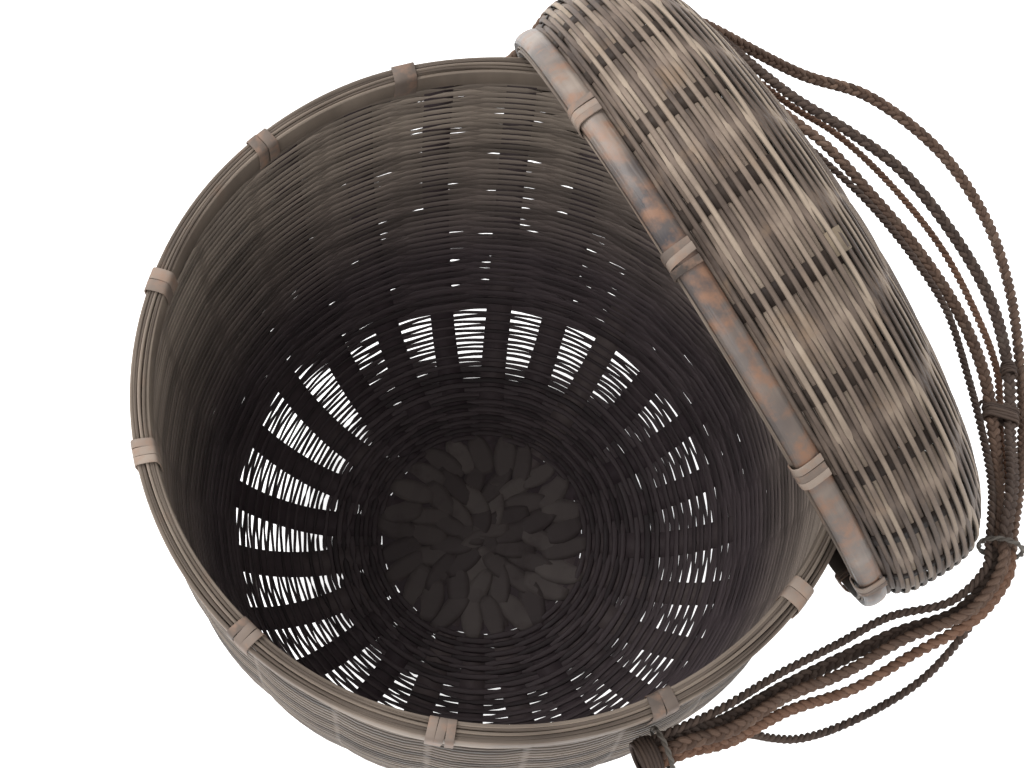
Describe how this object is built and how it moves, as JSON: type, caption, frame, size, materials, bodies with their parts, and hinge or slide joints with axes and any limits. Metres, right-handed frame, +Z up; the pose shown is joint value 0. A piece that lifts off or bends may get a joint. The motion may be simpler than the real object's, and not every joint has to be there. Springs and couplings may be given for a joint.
{
  "type": "storage basket",
  "caption": "Deep round storage basket of woven cane with a domed lid that is hooked over its rim and tied on by plaited cords run through small rings.",
  "frame": {"origin": "centre of the basket's base, on the surface that it stands on", "axes": "+Z up along the basket's own axis; the lid hangs toward +X and +Y, and the near lug is on the -Y side"},
  "size_m": [0.5312, 0.5033, 0.4737],
  "materials": {
    "stake_splint": "satin",
    "dark_weave": "satin",
    "wall_weave": "satin",
    "hoop_splint": "satin",
    "binding_cane": "satin",
    "lid_weave": "satin",
    "lid_band": "satin",
    "guide_ring": "satin",
    "plaited_cord": "matt",
    "dark_cord": "matt"
  },
  "bodies": {
    "basket": {"base_centre": "stake_splint", "base_weave": "dark_weave", "shoulder_weave": "dark_weave", "wall_weave": "wall_weave", "basket_stakes": "stake_splint", "inner_hoop": "hoop_splint", "outer_hoop": "hoop_splint", "rim_collar": "hoop_splint", "outer_filler_cane": "hoop_splint", "inner_filler_cane": "hoop_splint", "rim_binding_1": "binding_cane", "rim_binding_2": "binding_cane", "rim_binding_3": "binding_cane", "rim_binding_4": "binding_cane", "rim_binding_5": "binding_cane", "rim_binding_6": "binding_cane", "rim_binding_7": "binding_cane", "rim_binding_8": "binding_cane", "rim_binding_9": "binding_cane", "rim_binding_10": "binding_cane", "rim_binding_11": "binding_cane", "rim_binding_12": "binding_cane", "near_lug": "guide_ring", "far_lug": "guide_ring", "near_lug_whipping": "dark_cord", "far_lug_whipping": "dark_cord", "near_cord_1": "plaited_cord", "near_cord_2": "plaited_cord", "near_cord_3": "plaited_cord", "near_cord_4": "plaited_cord", "near_cord_5": "plaited_cord", "far_cord_1": "plaited_cord", "far_cord_2": "plaited_cord", "far_cord_3": "plaited_cord"},
    "lid": {"lid_stakes": "stake_splint", "lid_side_weave": "lid_weave", "lid_top_weave": "lid_weave", "lid_band": "lid_band", "lid_inner_hoop": "hoop_splint", "lid_binding_1": "binding_cane", "lid_binding_2": "binding_cane", "lid_binding_3": "binding_cane", "lid_binding_4": "binding_cane", "lid_binding_5": "binding_cane", "lid_binding_6": "binding_cane", "lid_binding_7": "binding_cane", "lid_binding_8": "binding_cane", "lid_binding_9": "binding_cane", "near_lid_ring": "guide_ring", "far_lid_ring": "guide_ring", "handle_cord_1": "plaited_cord", "handle_cord_2": "plaited_cord", "handle_cord_3": "plaited_cord", "handle_cord_4": "plaited_cord", "handle_cord_5": "plaited_cord", "handle_knot": "dark_cord", "handle_lashing": "dark_cord"}
  },
  "joints": [
    {"name": "lid_lift", "type": "slide", "parent": "basket", "child": "lid", "axis": [0.2775, 0.1999, 0.9397], "range_m": [0, 0.27], "deforming": ["near_cord_1", "near_cord_2", "near_cord_3", "near_cord_4", "near_cord_5", "far_cord_1", "far_cord_2", "far_cord_3"]}
  ]
}
